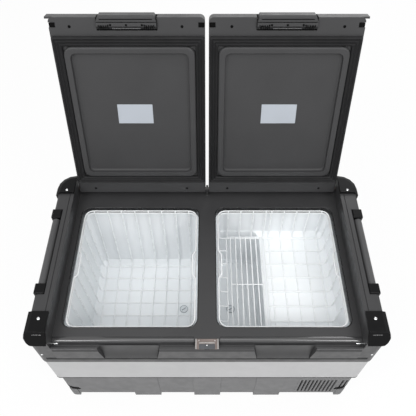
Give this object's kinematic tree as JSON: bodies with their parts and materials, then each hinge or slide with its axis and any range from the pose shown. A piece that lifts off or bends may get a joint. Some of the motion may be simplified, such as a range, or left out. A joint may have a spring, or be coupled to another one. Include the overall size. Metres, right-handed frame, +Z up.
{
  "type": "compressor cooler fridge",
  "caption": "Portable dual-zone compressor chest fridge with two rear-hinged lids, latches, wire baskets, drop handles, corner guards and a side control panel.",
  "frame": {"origin": "on the floor under the middle of the cabinet, on the middle runner's underside", "axes": "+X to the right seen from the front, +Y to the hinged back, +Z up"},
  "size_m": [0.873, 0.6557, 0.9246],
  "materials": {
    "frame_plastic": "fine-textured dark grey moulding",
    "lid_plastic": "smooth dark grey moulding",
    "band_plastic": "satin light grey moulding",
    "case_plastic": "textured mid grey moulding",
    "guard_plastic": "satin black moulding",
    "seal_rubber": "soft black bellows seal",
    "liner_plastic": "white food-safe liner",
    "coated_wire": "white coated steel wire",
    "stainless_steel": "brushed",
    "pu_foam": "foamed in place, hidden",
    "bare_aluminium": "plain",
    "compressor_paint": "black paint",
    "display_plastic": "dark tinted window"
  },
  "bodies": {
    "cabinet": {"top_frame": "frame_plastic", "belt_band": "band_plastic", "lower_case": "case_plastic", "front_left_foot": "case_plastic", "front_right_foot": "case_plastic", "rear_left_foot": "case_plastic", "rear_right_foot": "case_plastic", "front_vent_grille": "case_plastic", "side_vent_grille": "case_plastic", "front_left_guard": "guard_plastic", "front_right_guard": "guard_plastic", "rear_left_guard": "guard_plastic", "rear_right_guard": "guard_plastic", "left_front_bracket": "guard_plastic", "left_rear_bracket": "guard_plastic", "right_front_bracket": "guard_plastic", "right_rear_bracket": "guard_plastic", "fan_shroud": "guard_plastic", "control_panel": "guard_plastic", "low_voltage_inlet": "guard_plastic", "mains_inlet": "guard_plastic", "left_liner": "liner_plastic", "right_liner": "liner_plastic", "left_drain_plug": "liner_plastic", "right_drain_plug": "liner_plastic", "lock_plate": "stainless_steel", "left_hinge_pin": "stainless_steel", "right_hinge_pin": "stainless_steel", "centre_hinge_pin": "stainless_steel", "compressor_mount_plate": "stainless_steel", "insulation_foam": "pu_foam", "left_evaporator": "bare_aluminium", "right_evaporator": "bare_aluminium", "condenser": "bare_aluminium", "control_module": "bare_aluminium", "compressor": "compressor_paint", "display_window": "display_plastic"},
    "left_lid": {"left_lid_shell": "lid_plastic", "left_lid_panel": "lid_plastic", "left_gasket": "seal_rubber", "left_latch_pin": "stainless_steel"},
    "right_lid": {"right_lid_shell": "lid_plastic", "right_lid_panel": "lid_plastic", "right_gasket": "seal_rubber", "right_latch_pin": "stainless_steel"},
    "left_paddle": {"left_latch": "lid_plastic"},
    "right_paddle": {"right_latch": "lid_plastic"},
    "left_grip": {"left_handle": "frame_plastic"},
    "right_grip": {"right_handle": "frame_plastic"},
    "left_wire_basket": {"left_basket": "coated_wire"},
    "right_wire_basket": {"right_basket": "coated_wire"},
    "well_rack": {"basket_rack": "coated_wire"},
    "fan": {"fan_rotor": "guard_plastic"},
    "power_key": {"power_button": "case_plastic"},
    "set_key": {"set_button": "case_plastic"},
    "up_key": {"up_button": "case_plastic"},
    "down_key": {"down_button": "case_plastic"}
  },
  "joints": [
    {"name": "left_lid_hinge", "type": "hinge", "parent": "cabinet", "child": "left_lid", "pos_m": [-0.19125, 0.234, 0.439], "axis": [1, 0, 0], "range_deg": [0, 106]},
    {"name": "left_latch_pivot", "type": "hinge", "parent": "left_lid", "child": "left_paddle", "pos_m": [-0.19125, 0.37807, 0.90424], "axis": [-1, 0, 0], "range_deg": [0, 20], "stiffness_Nm_per_rad": 0.6},
    {"name": "left_handle_hinge", "type": "hinge", "parent": "cabinet", "child": "left_grip", "pos_m": [-0.419, 0, 0.4603], "axis": [0, 1, 0], "range_deg": [0, 95]},
    {"name": "left_basket_lift", "type": "slide", "parent": "cabinet", "child": "left_wire_basket", "axis": [0, 0, -1], "range_m": [-0.3, 0]},
    {"name": "right_lid_hinge", "type": "hinge", "parent": "cabinet", "child": "right_lid", "pos_m": [0.19125, 0.234, 0.439], "axis": [1, 0, 0], "range_deg": [0, 106]},
    {"name": "right_latch_pivot", "type": "hinge", "parent": "right_lid", "child": "right_paddle", "pos_m": [0.19125, 0.37807, 0.90424], "axis": [-1, 0, 0], "range_deg": [0, 20], "stiffness_Nm_per_rad": 0.6},
    {"name": "right_handle_hinge", "type": "hinge", "parent": "cabinet", "child": "right_grip", "pos_m": [0.419, 0, 0.4603], "axis": [0, -1, 0], "range_deg": [0, 95]},
    {"name": "right_basket_lift", "type": "slide", "parent": "cabinet", "child": "right_wire_basket", "axis": [0, 0, -1], "range_m": [-0.3, 0]},
    {"name": "rack_lift", "type": "slide", "parent": "right_wire_basket", "child": "well_rack", "axis": [0, 0, -1], "range_m": [-0.1, 0]},
    {"name": "fan_spin", "type": "hinge", "parent": "cabinet", "child": "fan", "pos_m": [0.3263, -0.186, 0.0793], "axis": [0, 1, 0], "continuous": true},
    {"name": "power_press", "type": "slide", "parent": "cabinet", "child": "power_key", "axis": [-1, 0, 0], "range_m": [0, 0.001], "stiffness_N_per_m": 600},
    {"name": "set_press", "type": "slide", "parent": "cabinet", "child": "set_key", "axis": [-1, 0, 0], "range_m": [0, 0.001], "stiffness_N_per_m": 600},
    {"name": "up_press", "type": "slide", "parent": "cabinet", "child": "up_key", "axis": [-1, 0, 0], "range_m": [0, 0.001], "stiffness_N_per_m": 600},
    {"name": "down_press", "type": "slide", "parent": "cabinet", "child": "down_key", "axis": [-1, 0, 0], "range_m": [0, 0.001], "stiffness_N_per_m": 600}
  ]
}
